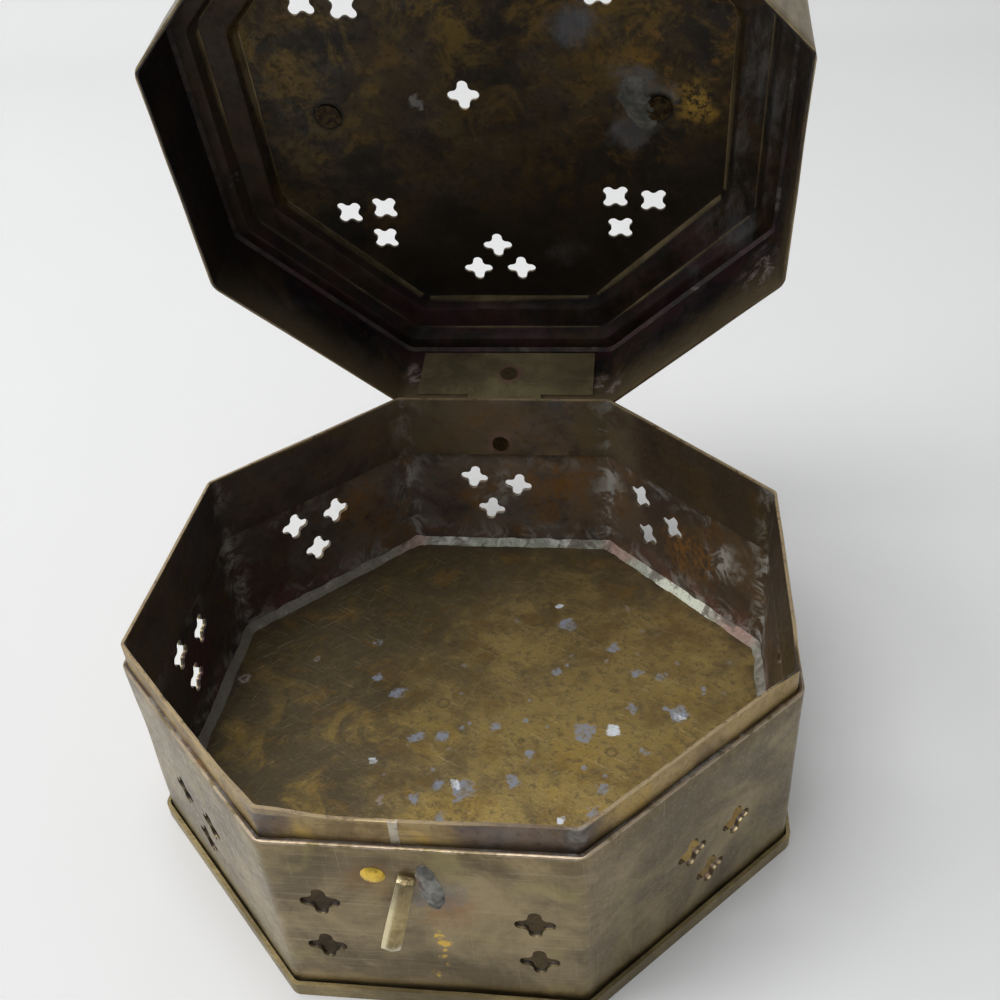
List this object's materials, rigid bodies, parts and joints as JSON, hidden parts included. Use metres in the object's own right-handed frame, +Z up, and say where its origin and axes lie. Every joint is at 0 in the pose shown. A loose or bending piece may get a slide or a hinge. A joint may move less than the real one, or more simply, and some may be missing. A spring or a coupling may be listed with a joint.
{
  "type": "candle lantern",
  "caption": "Low octagonal brass box lantern with pierced walls, a stepped hinged lid, a front catch with a drop loop and a swinging bail handle on the lid.",
  "frame": {"origin": "centre of the octagon on the plane the foot stands on", "axes": "+Z up, +Y towards the hinge at the back, -Y towards the catch at the front, +X to the right"},
  "size_m": [0.1372, 0.1674, 0.189],
  "materials": {
    "floor_brass": "aged, scratched, spotted",
    "wall_brass": "aged, brushed outside, dark inside",
    "collar_brass": "aged",
    "hinge_brass": "dull, olive grey",
    "rivet_brass": "dull",
    "pin_brass": "dull",
    "catch_brass": "rubbed bright on its edges",
    "bright_brass": "polished by wear",
    "skirt_brass": "aged, brushed outside, dark inside",
    "lid_brass": "aged, dark inside",
    "post_brass": "cast and turned, aged",
    "handle_brass": "cast, rubbed by the hand",
    "hasp_brass": "aged sheet",
    "wire_brass": "drawn wire, rubbed",
    "soft_solder": "dull grey soft solder"
  },
  "bodies": {
    "base": {"base_tray": "floor_brass", "wall_band": "wall_brass", "inner_collar": "collar_brass", "collar_seam": "soft_solder", "floor_solder": "soft_solder", "body_hinge_leaf": "hinge_brass", "body_hinge_rivet": "rivet_brass", "hinge_pin": "pin_brass", "latch_catch": "catch_brass", "catch_solder": "soft_solder", "front_rivet": "bright_brass"},
    "lid": {"lid_skirt": "skirt_brass", "lid_top": "lid_brass", "lid_seam_solder": "soft_solder", "lid_hinge_leaf": "hinge_brass", "lid_hinge_rivet": "rivet_brass", "handle_post_left": "post_brass", "handle_post_right": "post_brass", "handle_solder": "soft_solder", "hasp_bracket": "hasp_brass", "hasp_bracket_rivets": "rivet_brass"},
    "handle": {"handle_bail": "handle_brass"},
    "hasp": {"hasp_loop": "wire_brass"}
  },
  "joints": [
    {"name": "lid_hinge", "type": "hinge", "parent": "base", "child": "lid", "pos_m": [0, 0.06975, 0.0467], "axis": [1, 0, 0], "range_deg": [-104, 76]},
    {"name": "handle_swing", "type": "hinge", "parent": "lid", "child": "handle", "pos_m": [0, 0.08781, 0.12309], "axis": [1, 0, 0], "range_deg": [0, 200]},
    {"name": "hasp_swing", "type": "hinge", "parent": "lid", "child": "hasp", "pos_m": [-0.0041, 0.03866, 0.18256], "axis": [1, 0, 0], "range_deg": [0, 180]}
  ]
}
